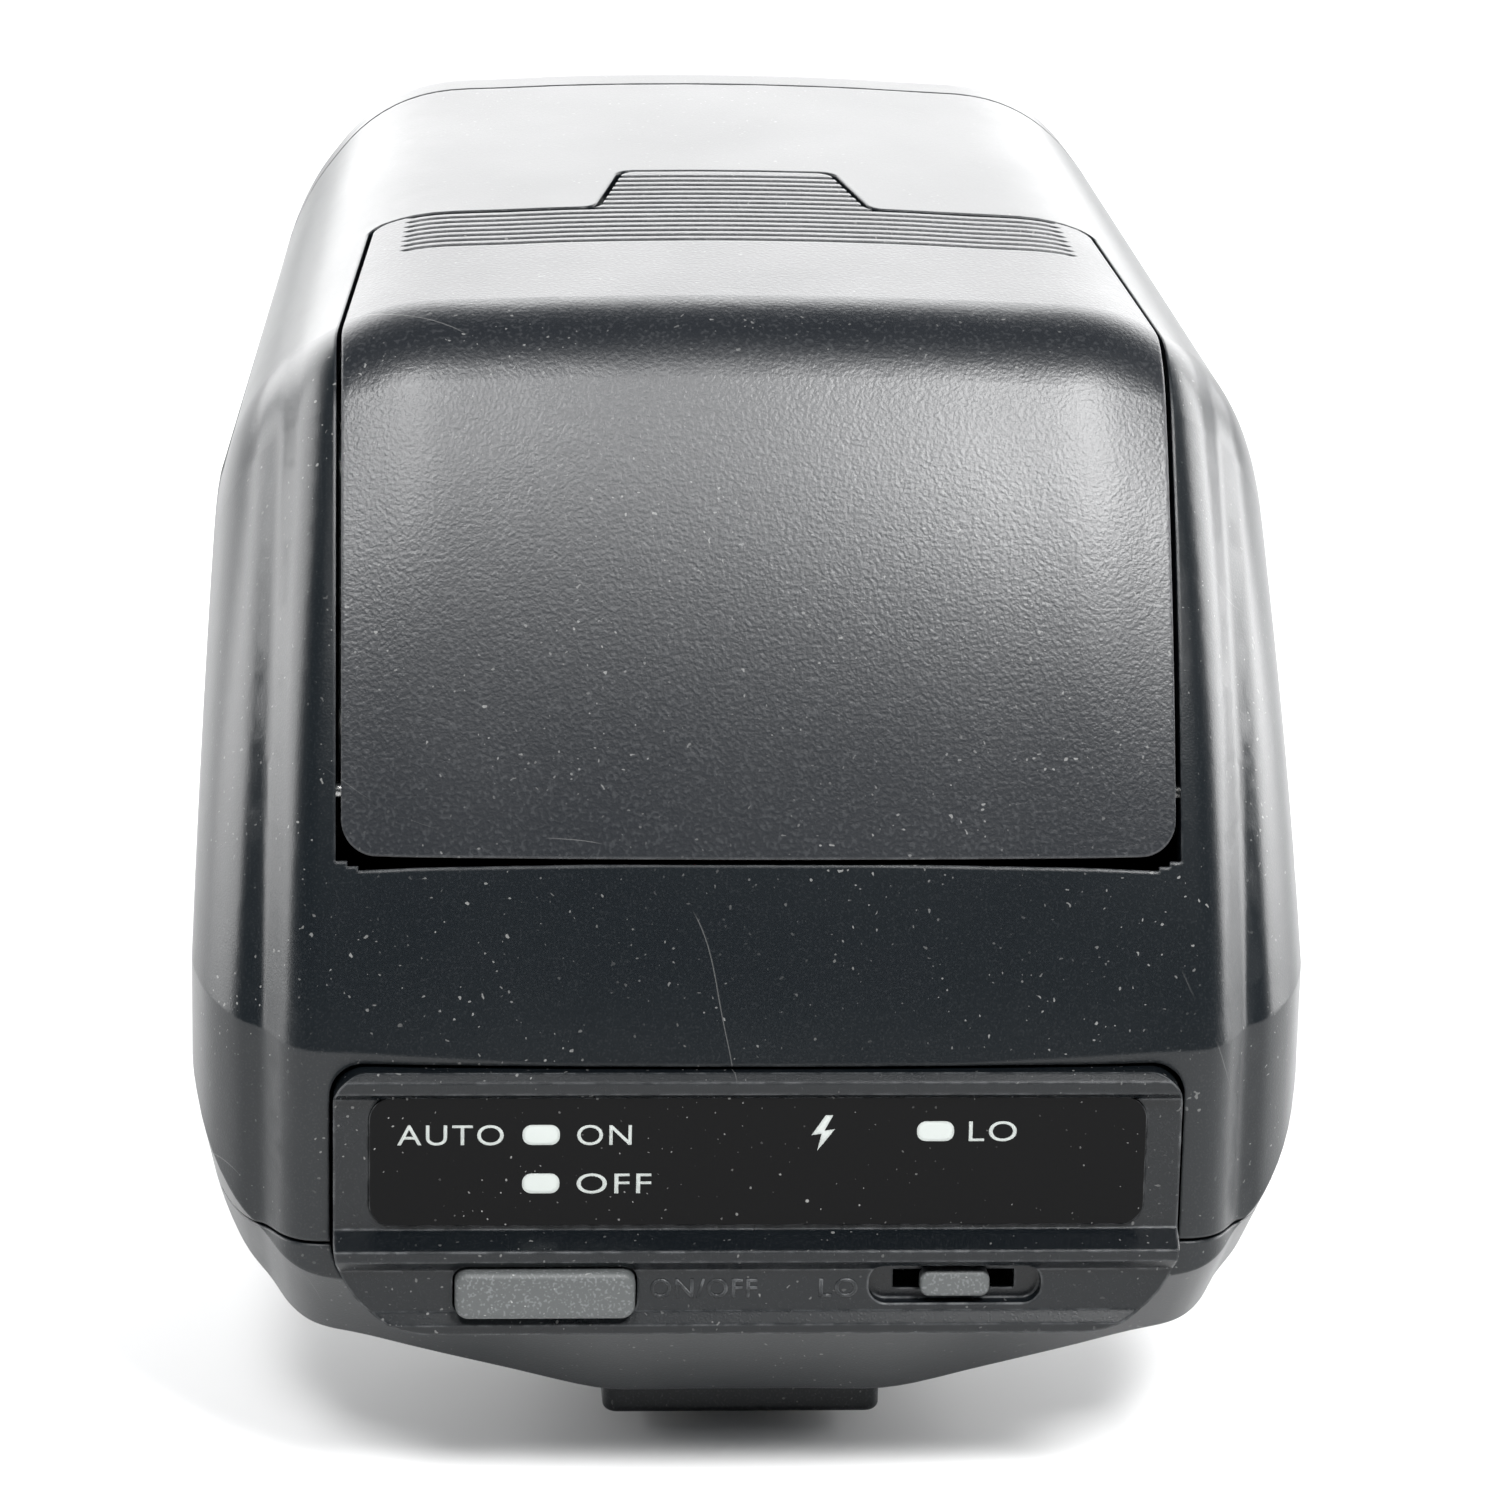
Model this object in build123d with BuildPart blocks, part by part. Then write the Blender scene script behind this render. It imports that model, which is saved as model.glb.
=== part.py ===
"""Shoe-mount speedlight flash for a still camera, built as an assembly.

Frame: the origin is the centre of the shoe foot's underside. +Z is up, +Y is the way
the flash fires, +X is the user's right. Millimetres throughout.

The casing is one lofted form, split at a front seam and a base seam. The sloped back
carries the battery door, with the lamp window and the two switches below it. Inside are
four cells in a tray, the storage capacitor, the converter board, and a zoom carriage
that moves the tube and its reflector behind a fixed prism lens.
"""

import math
import os

from build123d import *

os.makedirs("parts", exist_ok=True)

# ---- driving dimensions: casing ------------------------------------------------------
half_width = 36.0
taper = 0.0020  # share of the width lost per millimetre towards the front
wall = 2.0
rear_y = -20.5
back_low_z = 28.5  # where the curved back starts, above the control panel
back_high_y = -3.6
back_high_z = 69.9
back_radius = 115.0
bend_radius = 9.0
top_slope = 5.1  # degrees, rising towards the front
front_y = 62.0
front_low_z = 20.0
nose_round = 2.5
platform_z = 4.0
seam_gap = 0.25
front_seam_y = 57.0
base_seam_z = 16.5

# ---- driving dimensions: shoe foot ---------------------------------------------------
foot_width = 18.6
foot_length = 18.0
foot_thick = 2.0
neck_width = 12.5
neck_length = 16.0
plate_thick = 1.2
pin_radius = 0.9
pin_proud = 0.6
pin_spots = [(0, 0), (-2.9, -4.2), (2.9, -4.2)]
lock_pin_radius = 1.1
lock_pin_y = 6.2
lock_pin_lift = 1.2
release_travel = 2.0
collar_z = 13.0  # underside of the lock pin's collar
release_low_z = 11.6
release_high_z = 14.8

# ---- driving dimensions: battery door and cells --------------------------------------
door_half = half_width - 9.2
door_low_z = 41.4
door_gap = 0.35
door_top_y = 24.0
door_top_half = door_half - 2.2
tab_y = 33.0
tab_half = 7.2
tab_root_half = 9.2
hinge_y = -12.6
hinge_z = 44.6
hinge_sweep = 5.8
corner_sweeps = [  # the relief behind the door's lower edge shrinks at its round corners
    (door_half - 1.1, hinge_sweep),
    (door_half - 0.4, hinge_sweep - 0.25),
    (door_half + door_gap, hinge_sweep - 0.55),
]
knuckle_radius = 1.4
hinge_pin_radius = 0.6
rib_start_y = 15.5
rib_pitch = 1.12
rib_depth = 0.35
cell_radius = 7.25
cell_length = 50.5
cell_pitch = 15.2
cell_y = -2.0  # the first cell; the others stand up and forward of it
cell_z = 47.0
cell_lean = 25.4  # degrees the stack leans forward
tray_half = cell_length / 2 + 1.75
tray_wall = 1.2
cell_play = 0.15

# ---- driving dimensions: control panel -----------------------------------------------
panel_half = 27.3
panel_low_z = 10.9
panel_high_z = 28.3
panel_back_y = -17.0
window_half = 25.0
window_low_z = 17.9
window_high_z = 26.6
window_face_y = -20.9
window_thick = 1.2
lamp_spots = [(-14.0, 24.1), (-14.0, 20.8), (4.1, 24.2), (11.4, 24.3)]
button_x = -13.7
button_length = 11.6
button_height = 3.2
button_z = 13.8
button_face_y = -23.1
button_travel = 0.8
slot_x = 12.8
slot_length = 11.2
slot_height = 2.7
slot_z = 14.2
slot_floor_y = -20.9
knob_length = 4.5
knob_height = 1.7
knob_travel = 3.0
slide_clearance = 0.15

# ---- driving dimensions: optics and zoom drive ---------------------------------------
lens_half = 22.5
lens_low_z = 41.0
lens_high_z = 71.0
lens_flange = 1.2
lens_rear_y = 58.6
face_y = front_y - 0.15  # the front is cut flat here
lens_seat_y = front_y - wall - 0.1
lens_face_y = front_y - 0.4
lamp_half = 11.0
lamp_low_z = 25.0
lamp_high_z = 34.0
zoom_travel = 11.0
tube_y = 45.0
tube_z = 56.0
tube_radius = 2.2
reflector_half = 21.4
mouth_y = 57.0
mouth_half = 13.0
throat_y = 41.8
throat_half = 2.8
sheet = 0.5
arm_x = 22.0  # inner face of the carriage's side arms
carriage_y = 40.0
rod_radius = 1.0
rod_fit = 0.06
rod_x = 26.0
rod_z = 37.0
screw_x = 18.5
screw_z = 36.0
screw_radius = 1.5
gear_module = 0.5
gear_teeth = 24
pinion_teeth = 12
gear_y = 29.5
gear_width = 2.0
motor_bearing = 23.0  # degrees from straight down, screw axis to motor axis
motor_radius = 5.0
motor_y = 33.5
motor_length = 14.0
capacitor_radius = 10.0
capacitor_length = 33.5
capacitor_spot = (-5.0, 40.0, 29.5)

# ---- driving dimensions: boards ------------------------------------------------------
board_z = 15.4
board_thick = 1.6
board_half = 26.5
board_rear_y = -12.0
board_front_y = 17.0
control_board_y = -14.8
control_board_thick = 1.2
control_board_half = 24.0
shelf_z = 35.0
shelf_x = 28.5

touch = 0.02  # clearance of a fixed seat

# ---- places worked out from them -----------------------------------------------------
chassis_y = (
    cell_y
    + cell_pitch * (math.sin(math.radians(cell_lean)) + math.cos(math.radians(cell_lean)))
    + cell_radius
    + cell_play
    + tray_wall
)
chassis_thick = 1.0
gear_centres = gear_module * (gear_teeth + pinion_teeth) / 2
motor_x = screw_x + gear_centres * math.sin(math.radians(motor_bearing))
motor_z = screw_z - gear_centres * math.cos(math.radians(motor_bearing))
floor_z = platform_z + wall + 0.2
board_posts = [(x, y) for x in (-22, 22) for y in (-8, 13)]
casing_posts = [(-30.6, -5.5), (30.6, -5.5), (-24.0, 22.0), (24.0, 22.0)]
panel_posts = [(x, z) for x in (-22.3, 22.3) for z in (15.6, 26.4)]
saddle_spots = [-17.0, 9.0]
foot_screw_spots = [(x, y) for x in (-4.7, 4.7) for y in (-6.5, 6.5)]

# ---- the casing form -----------------------------------------------------------------
station_scale = half_width / 36.0


def smooth_step(t):
    """0 to 1 with flat ends."""
    t = max(0.0, min(1.0, t))
    return t * t * (3 - 2 * t)


def round_off(x, start, width, height, power=2.0):
    """A superellipse quarter that falls by height between start and start + width."""
    u = max(0.0, min(0.975, (x - start) / width))
    return height * (1 - math.sqrt(1 - u**power))


def rear_shift(x):
    """How far the back lies forward at station x: crown, ridge step, rounded flank."""
    crown = 0.8 * (x / 28) ** 2
    ridge = 2.8 * smooth_step((x - 28.6) / 2.2)
    return crown + ridge + round_off(x, 29.5, 6.7, 11.0)


def top_drop(x):
    """How far the top lies lower at station x: crown and rounded shoulder."""
    return 1.0 * (x / 28) ** 2 + round_off(x, 22.0, 14.1, 15.0, 1.8)


def belly_lift(x):
    """How far the underside rises at station x: shallow V and rounded corner."""
    vee = 4.4 * max(x - 9.5, 0.0) / 18
    return vee + round_off(x, 27.0, 9.2, 14.0)


def station_plane(x):
    """The plane of one casing section, turned so that the sections converge forward."""
    return Plane(origin=(x, 0, 0), x_dir=(-taper * x, 1, 0), z_dir=(1, taper * x, 0))


def casing_section(x, inset):
    """Side profile of the casing at station x, drawn inset from the outer surface."""
    station = abs(x) / station_scale
    shift = rear_shift(station) + inset
    drop = top_drop(station)
    lift = belly_lift(station) + inset
    rear = rear_y + shift
    front = front_y - inset
    nose = nose_round if inset == 0 else 0.5
    slope = math.radians(top_slope)
    with BuildSketch(station_plane(x * (1 - inset / half_width))) as section:
        with BuildLine():
            back = RadiusArc(
                (rear, back_low_z + 0.2 * lift),
                (back_high_y + shift, back_high_z - drop - 0.5 * inset),
                back_radius,
            )
            heading = math.degrees(math.atan2((back % 1).Y, (back % 1).X))
            bend = JernArc(back @ 1, back % 1, bend_radius - inset, top_slope - heading)
            run = front - nose - (bend @ 1).X
            brow = (bend @ 1) + Vector(run, run * math.tan(slope))
            top = Line(bend @ 1, brow)
            tip = JernArc(top @ 1, top % 1, nose, -90 - top_slope)
            Polyline(
                tip @ 1,
                (front, front_low_z + 0.7 * lift),
                (front - 6, front_low_z - 3 + 0.7 * lift),
                (20, platform_z + 4 + 0.9 * lift),
                (13, platform_z + lift),
                (rear + 6, platform_z + lift),
                (rear, platform_z + 6.5 + 0.85 * lift),
                back @ 0,
            )
        make_face()
    return section.sketch.faces()[0]


def casing_form(inset):
    """The whole casing as one solid, inset from the outer surface."""
    half = [0, 4.5, 9, 13.5, 18, 22, 25.4, 28, 29.6, 30.8, 32, 33.2, 34.2, 35, 35.6, 36]
    stations = [x * station_scale for x in [-h for h in reversed(half[1:])] + half]
    with BuildPart() as form:
        loft(sections=[casing_section(x, inset) for x in stations])
    return form.part


outer_form = casing_form(0.0)
inner_form = casing_form(wall)
shell = outer_form - inner_form


# ---- helpers that add to the piece being built ---------------------------------------
def block(low, high, mode=Mode.ADD):
    """A box from one corner to the opposite one."""
    size = [abs(b - a) for a, b in zip(low, high)]
    middle = tuple((a + b) / 2 for a, b in zip(low, high))
    with Locations(middle):
        Box(*size, mode=mode)


def bar(axis, start, radius, length, mode=Mode.ADD):
    """A cylinder that runs from its start point along +X, +Y or +Z."""
    turn = {"X": (0, 90, 0), "Y": (-90, 0, 0), "Z": (0, 0, 0)}[axis]
    with Locations(tuple(start)):
        Cylinder(
            radius, length, rotation=turn, align=(Align.CENTER, Align.CENTER, Align.MIN), mode=mode
        )


def screw(seat, axis, radius, length, head_radius, head_height):
    """A screw: shank from the seat along the axis, head with a driver recess behind it."""
    step = {"X": (1, 0, 0), "Y": (0, 1, 0), "Z": (0, 0, 1)}[axis]
    head = [s - head_height * d for s, d in zip(seat, step)]
    bar(axis, seat, radius, length)
    bar(axis, head, head_radius, head_height)
    bar(axis, head, head_radius * 0.45, head_height * 0.6, mode=Mode.SUBTRACT)


def cut_saddles():
    """Cut the storage capacitor's cradle into the piece being built."""
    x, y, z = capacitor_spot
    bar("X", (x - 30, y, z), capacitor_radius + touch, 60, Mode.SUBTRACT)


def door_prism(gap):
    """The door's outline from above, raised through the casing, grown by gap."""
    with BuildPart() as prism:
        with BuildSketch(Plane.XY.offset(door_low_z - gap)):
            with BuildLine():
                FilletPolyline(
                    (-door_half - gap, -40),
                    (door_half + gap, -40),
                    (door_half + gap, 2),
                    (door_top_half + gap, door_top_y + gap),
                    (tab_root_half + gap, door_top_y + gap),
                    (tab_half + gap, tab_y + gap),
                    (-tab_half - gap, tab_y + gap),
                    (-tab_root_half - gap, door_top_y + gap),
                    (-door_top_half - gap, door_top_y + gap),
                    (-door_half - gap, 2),
                    radius=[0.5, 0.5, 8, 1.2, 1.2, 1.2, 1.2, 1.2, 1.2, 8],
                    close=True,
                )
            make_face()
        extrude(amount=60)
        low = prism.edges().filter_by(Axis.Y).group_by(Axis.Z)[0]
        fillet(low, 2.2)
    return prism.part


def panel_prism(gap):
    """The control panel's rounded outline from behind, run through the rear wall."""
    width = panel_half + gap
    low, high = panel_low_z - gap, panel_high_z + gap
    with BuildPart() as prism:
        with BuildSketch(Plane.XZ.offset(30)):
            with BuildLine():
                FilletPolyline(
                    (-width, low),
                    (width, low),
                    (width, high),
                    (-width, high),
                    radius=[6.5, 6.5, 2.2, 2.2],
                    close=True,
                )
            make_face()
        extrude(amount=-14)
    return prism.part


# ---- cutters and ribs shared by the casing pieces ------------------------------------
with BuildPart() as hinge_relief:
    for half, reach in corner_sweeps:
        bar("X", (-half, hinge_y, hinge_z), reach, 2 * half)

with BuildPart() as seam_band:
    add(shell)
    block((-60, front_seam_y - seam_gap, -10), (60, front_seam_y, 120), Mode.INTERSECT)

with BuildPart() as rear_ribs:
    for side in (-1, 1):
        block((side * shelf_x, 0, shelf_z - 4), (side * 38, chassis_y, shelf_z))
        block((side * 25, 50, 69), (side * 38, front_seam_y, 82))
        block((side * 26.5, 50, 26), (side * 38, front_seam_y, 34))
        block((side * (door_half + door_gap), -15.6, 42.4), (side * 31.5, -10.6, 46.8))
    for x, y in casing_posts:
        side = math.copysign(1, x)
        block((x - 2.4 * side, y - 4, base_seam_z), (x + 6 * side, y + 4, 24))
    for x in saddle_spots:
        block((x - 1, 41.5, base_seam_z), (x + 1, 47.0, 24))
    add(outer_form, mode=Mode.INTERSECT)
    cut_saddles()

with BuildPart() as front_ribs:
    for side in (-1, 1):
        block((side * 25, front_seam_y, 69), (side * 38, 61, 82))
        block((side * 26.5, front_seam_y, 26), (side * 38, 61, 34))
        bar("Y", (side * rod_x, 57.2, rod_z), 2.3, 3.8)
    bar("Y", (screw_x, 57.2, screw_z), 2.6, 3.8)
    add(outer_form, mode=Mode.INTERSECT)

with BuildPart() as base_ribs:
    for x, y in casing_posts:
        side = math.copysign(1, x)
        block((x - 2.4 * side, y - 4, 8), (x + 6 * side, y + 4, base_seam_z))
    for x, y in board_posts:
        bar("Z", (x, y, platform_z), 2.2, board_z - platform_z)
    for x in saddle_spots:
        block((x - 1, 32, 12), (x + 1, 36.5, 24))
    block((-9.6, -12, platform_z), (9.6, 12, floor_z))
    add(outer_form, mode=Mode.INTERSECT)
    cut_saddles()

panel_cut = panel_prism(seam_gap)

# ---- casing --------------------------------------------------------------------------
with BuildPart() as rear_housing:
    add(shell)
    block((-60, -60, -20), (60, 120, base_seam_z), Mode.SUBTRACT)
    block((-60, front_seam_y - seam_gap, -20), (60, 120, 120), Mode.SUBTRACT)
    add(door_prism(door_gap), mode=Mode.SUBTRACT)
    add(panel_cut, mode=Mode.SUBTRACT)
    add(hinge_relief.part, mode=Mode.SUBTRACT)
    add(rear_ribs.part)
    add(seam_band.part, mode=Mode.SUBTRACT)
    for side in (-1, 1):
        bar("X", (side * 26 - 4, hinge_y, hinge_z), hinge_pin_radius + touch, 8, Mode.SUBTRACT)
        bar("Z", (side * 29.9, 8, shelf_z - 3), 0.7 + touch, 4, Mode.SUBTRACT)
        bar("Y", (side * 29.9, chassis_y - 6, shelf_z - 2), 0.7 + touch, 8, Mode.SUBTRACT)
    for x, y in casing_posts:
        bar("Z", (x, y, base_seam_z - 1), 0.9 + touch, 7, Mode.SUBTRACT)
rear_housing.part.label = "rear_housing"
export_step(rear_housing.part, "parts/rear_housing.step")

with BuildPart() as front_housing:
    add(shell)
    block((-60, front_seam_y, -20), (60, face_y, 120), Mode.INTERSECT)
    add(front_ribs.part)
    with BuildSketch(Plane.XZ.offset(-70)) as openings:
        with Locations((0, (lens_low_z + lens_high_z) / 2)):
            RectangleRounded(2 * lens_half, lens_high_z - lens_low_z, 3)
        with Locations((0, (lamp_low_z + lamp_high_z) / 2)):
            RectangleRounded(2 * lamp_half, lamp_high_z - lamp_low_z, 2)
    extrude(amount=14, mode=Mode.SUBTRACT)
    for side in (-1, 1):
        bar("Y", (side * rod_x, 57, rod_z), rod_radius + touch, 2.6, Mode.SUBTRACT)
    bar("Y", (screw_x, 57, screw_z), screw_radius + rod_fit, 2.6, Mode.SUBTRACT)
front_housing.part.label = "front_housing"
export_step(front_housing.part, "parts/front_housing.step")

with BuildPart() as base_cover:
    add(shell)
    block((-60, -60, -20), (60, front_seam_y - seam_gap, base_seam_z - seam_gap), Mode.INTERSECT)
    add(base_ribs.part)
    add(panel_cut, mode=Mode.SUBTRACT)
    block((-neck_width / 2 - touch, -neck_length / 2 - touch, 2),
          (neck_width / 2 + touch, neck_length / 2 + touch, platform_z + 0.4), Mode.SUBTRACT)
    bar("Z", (0, -1.5, 0), 5.6, 12, Mode.SUBTRACT)
    bar("Z", (0, lock_pin_y, 0), lock_pin_radius + 0.3, 12, Mode.SUBTRACT)
    for x, y in foot_screw_spots:
        bar("Z", (x, y, 0), 0.8 + touch, 12, Mode.SUBTRACT)
    for x, y in casing_posts:
        bar("Z", (x, y, 0), 1.9 + touch, 13.0, Mode.SUBTRACT)
        bar("Z", (x, y, 0), 0.9 + touch, 20, Mode.SUBTRACT)
    for x, y in board_posts:
        bar("Z", (x, y, board_z - 5), 0.8 + touch, 6, Mode.SUBTRACT)
    block((-60, lock_pin_y - 4.7 - slide_clearance, release_low_z - slide_clearance),
          (release_travel + slide_clearance - 28,
           lock_pin_y + 4.7 + slide_clearance, release_high_z + slide_clearance),
          Mode.SUBTRACT)
base_cover.part.label = "base_cover"
export_step(base_cover.part, "parts/base_cover.step")

# ---- battery door --------------------------------------------------------------------
crest_z = outer_form.bounding_box().max.Z

with BuildPart() as rib_grooves:
    for i in range(int((tab_y - rib_start_y) / rib_pitch)):
        y = rib_start_y + (i + 0.5) * rib_pitch
        top = crest_z - (front_y - nose_round - y) * math.tan(math.radians(top_slope))
        edge = top - rib_depth - (30 / 28) ** 2
        with BuildSketch(Plane.XZ.offset(-y - 0.25)) as groove:
            with BuildLine():
                crown = ThreePointArc((-30, edge), (0, top - rib_depth), (30, edge))
                Polyline(crown @ 1, (30, top + 2), (-30, top + 2), crown @ 0)
            make_face()
        extrude(amount=0.5)

with BuildPart() as battery_door:
    add(shell)
    add(door_prism(0.0), mode=Mode.INTERSECT)
    add(rib_grooves.part, mode=Mode.SUBTRACT)
    for side in (-1, 1):
        near, far = side * (door_half - 5.6), side * (door_half - 0.2)
        bar("X", (min(near, far), hinge_y, hinge_z), knuckle_radius, 5.4)
        block((near, -15.2, hinge_z - 1.4), (far, hinge_y, hinge_z + 1.4))
        bar("X", (min(near, far) - 1, hinge_y, hinge_z), hinge_pin_radius + 0.05, 8, Mode.SUBTRACT)
    add(outer_form, mode=Mode.INTERSECT)
battery_door.part.label = "battery_door"
export_step(battery_door.part, "parts/battery_door.step")

with BuildPart() as door_hinge_pins:
    for side in (-1, 1):
        near, far = side * (door_half - 5.2), side * (door_half + 2.6)
        bar("X", (min(near, far), hinge_y, hinge_z), hinge_pin_radius, 7.8)
door_hinge_pins.part.label = "door_hinge_pins"
export_step(door_hinge_pins.part, "parts/door_hinge_pins.step")

# ---- control panel -------------------------------------------------------------------
with BuildPart() as control_bezel:
    with BuildSketch(Plane.YZ.offset(-panel_half)) as panel_profile:
        with BuildLine():
            Polyline(
                (panel_back_y, panel_high_z),
                (-21.0, panel_high_z),
                (-21.5, panel_high_z - 0.5),
                (-21.5, panel_high_z - 1.3),
                (-20.7, panel_high_z - 1.9),
                (-20.7, window_low_z - 0.3),
                (-22.6, window_low_z - 1.2),
                (-22.6, window_low_z - 1.9),
                (-21.9, window_low_z - 2.7),
                (-21.9, panel_low_z + 1.5),
                (-22.4, panel_low_z + 0.7),
                (-22.2, panel_low_z),
                (panel_back_y, panel_low_z),
                close=True,
            )
        make_face()
    extrude(amount=2 * panel_half)
    add(panel_prism(0.0), mode=Mode.INTERSECT)
    for x, z in panel_posts:
        bar("Y", (x, panel_back_y, z), 1.7, control_board_y - panel_back_y)
        bar("Y", (x, panel_back_y - 1, z), 0.6 + touch, 4, Mode.SUBTRACT)
    with BuildSketch(Plane.XZ.offset(-window_face_y + 5)) as window_pocket:
        with Locations((0, (window_low_z + window_high_z) / 2)):
            RectangleRounded(2 * (window_half + touch), window_high_z - window_low_z + 0.04, 1.5)
    extrude(amount=-(5 + window_thick), mode=Mode.SUBTRACT)
    for x, z in lamp_spots:
        block((x - 1.5, -20, z - 1.1), (x + 1.5, -16, z + 1.1), Mode.SUBTRACT)
    with BuildSketch(Plane.XZ.offset(30)) as button_hole:
        with Locations((button_x, button_z)):
            RectangleRounded(
                button_length + 2 * slide_clearance, button_height + 2 * slide_clearance, 1.0
            )
    extrude(amount=-16, mode=Mode.SUBTRACT)
    with BuildSketch(Plane.XZ.offset(30)) as slot_recess:
        with Locations((slot_x, slot_z)):
            RectangleRounded(slot_length, slot_height, 1.2)
    extrude(amount=-(30 + slot_floor_y), mode=Mode.SUBTRACT)
    stem_run = 1.6 + 2 * (knob_travel + slide_clearance)
    block((slot_x - stem_run / 2, -24, slot_z - 0.5 - slide_clearance),
          (slot_x + stem_run / 2, -16, slot_z + 0.5 + slide_clearance), Mode.SUBTRACT)
control_bezel.part.label = "control_bezel"
export_step(control_bezel.part, "parts/control_bezel.step")

with BuildPart() as indicator_window:
    with BuildSketch(Plane.XZ.offset(-window_face_y)) as window_outline:
        with Locations((0, (window_low_z + window_high_z) / 2)):
            RectangleRounded(2 * window_half, window_high_z - window_low_z, 1.5)
    extrude(amount=-window_thick)
indicator_window.part.label = "indicator_window"
export_step(indicator_window.part, "parts/indicator_window.step")

with BuildPart() as on_off_button:
    with BuildSketch(Plane.XZ.offset(-button_face_y)) as button_outline:
        with Locations((button_x, button_z)):
            RectangleRounded(button_length, button_height, 0.9)
    extrude(amount=-(panel_back_y - button_face_y - 0.9))
    face = on_off_button.faces().sort_by(Axis.Y)[0]
    fillet(face.edges(), 0.5)
on_off_button.part.label = "on_off_button"
export_step(on_off_button.part, "parts/on_off_button.step")

with BuildPart() as level_slide_knob:
    with BuildSketch(Plane.XZ.offset(22.1)) as knob_outline:
        with Locations((slot_x, slot_z)):
            RectangleRounded(knob_length, knob_height, 0.6)
    extrude(amount=-(22.1 + slot_floor_y - 0.05))
    face = level_slide_knob.faces().sort_by(Axis.Y)[0]
    fillet(face.edges(), 0.25)
    block((slot_x - 0.8, slot_floor_y - 0.2, slot_z - 0.5), (slot_x + 0.8, -16.2, slot_z + 0.5))
level_slide_knob.part.label = "level_slide_knob"
export_step(level_slide_knob.part, "parts/level_slide_knob.step")

with BuildPart() as control_board:
    block((-control_board_half, control_board_y, 12.6),
          (control_board_half, control_board_y + control_board_thick, 36))
    for x, z in panel_posts:
        bar("Y", (x, control_board_y - 1, z), 0.6 + touch, 4, Mode.SUBTRACT)
control_board.part.label = "control_board"
export_step(control_board.part, "parts/control_board.step")

with BuildPart() as panel_screw:
    screw((0, 0, 0), "Z", 0.6, 3.0, 1.2, 0.8)

with BuildPart() as panel_screws:
    for x, z in panel_posts:
        with Locations(Location((x, control_board_y + control_board_thick, z), (90, 0, 0))):
            add(panel_screw.part)
panel_screws.part.label = "panel_screws"
export_step(panel_screws.part, "parts/panel_screws.step")

with BuildPart() as indicator_lamps:
    for x, z in lamp_spots:
        block((x - 1.3, -16.4, z - 1.0), (x + 1.3, control_board_y, z + 1.0))
        bar("Y", (x, -19.4, z), 0.9, 3.2)
indicator_lamps.part.label = "indicator_lamps"
export_step(indicator_lamps.part, "parts/indicator_lamps.step")

with BuildPart() as power_switch:
    block((button_x - 2.2, -16.2, button_z - 1.1), (button_x + 2.2, control_board_y, button_z + 1.1))
    bar("Y", (button_x, -16.9, button_z), 0.8, 1.0)
power_switch.part.label = "power_switch"
export_step(power_switch.part, "parts/power_switch.step")

with BuildPart() as level_switch:
    block((slot_x - 5, -16.5, slot_z - 1.5), (slot_x + 5, control_board_y, slot_z + 1.9))
    block((slot_x - 4.2, -17, slot_z - 0.7), (slot_x + 4.2, -15.5, slot_z + 0.7), Mode.SUBTRACT)
level_switch.part.label = "level_switch"
export_step(level_switch.part, "parts/level_switch.step")

# ---- cells and tray ------------------------------------------------------------------
lean = math.radians(cell_lean)
cell_plane = Plane(
    origin=(0, cell_y, cell_z), x_dir=(0, math.sin(lean), math.cos(lean)), z_dir=(-1, 0, 0)
)
cell_grid = [(u, w) for u in (0, cell_pitch) for w in (0, cell_pitch)]


def tray_outline(margin):
    """The rounded outline around the four cells, a margin larger than they are."""
    with BuildSketch(cell_plane) as outline:
        with Locations(cell_grid):
            Circle(cell_radius + margin)
        make_hull()
    return outline.sketch


with BuildPart() as battery_tray:
    extrude(tray_outline(cell_play + tray_wall), amount=tray_half + tray_wall, both=True)
    extrude(tray_outline(cell_play), amount=tray_half, both=True, mode=Mode.SUBTRACT)
    with BuildSketch(cell_plane) as open_side:
        with Locations((0, -1)):
            Rectangle(80, 30, align=(Align.CENTER, Align.MAX))
        with Locations((cell_pitch + 2, 0)):
            Rectangle(30, 60, align=(Align.MIN, Align.CENTER))
    extrude(amount=60, both=True, mode=Mode.SUBTRACT)
    for side in (-1, 1):
        block((side * (tray_half + 0.4), 5, shelf_z), (side * 31.4, 14, shelf_z + 1.4))
        block((side * (tray_half + 0.4), 8, shelf_z), (side * (tray_half + 1.2), 14, shelf_z + 8))
        bar("Z", (side * 29.9, 8, shelf_z - 1), 0.7 + touch, 4, Mode.SUBTRACT)
    bar("X", (-40, hinge_y, hinge_z), hinge_sweep, 80, Mode.SUBTRACT)
battery_tray.part.label = "battery_tray"
export_step(battery_tray.part, "parts/battery_tray.step")

with BuildPart() as tray_screws:
    for side in (-1, 1):
        bar("Z", (side * 29.9, 8, shelf_z - 3), 0.7, 4.4)
        bar("Z", (side * 29.9, 8, shelf_z + 1.4), 1.3, 0.9)
tray_screws.part.label = "tray_screws"
export_step(tray_screws.part, "parts/tray_screws.step")

with BuildPart() as aa_cells:
    for n, (u, w) in enumerate(cell_grid):
        flip = 1 if n in (0, 3) else -1
        with BuildSketch(cell_plane.offset(-flip * cell_length / 2)):
            with Locations((u, w)):
                Circle(cell_radius)
        extrude(amount=flip * (cell_length - 1.2))
        with BuildSketch(cell_plane.offset(-flip * cell_length / 2)):
            with Locations((u, w)):
                Circle(2.7)
        extrude(amount=flip * cell_length)
aa_cells.part.label = "aa_cells"
export_step(aa_cells.part, "parts/aa_cells.step")

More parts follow.
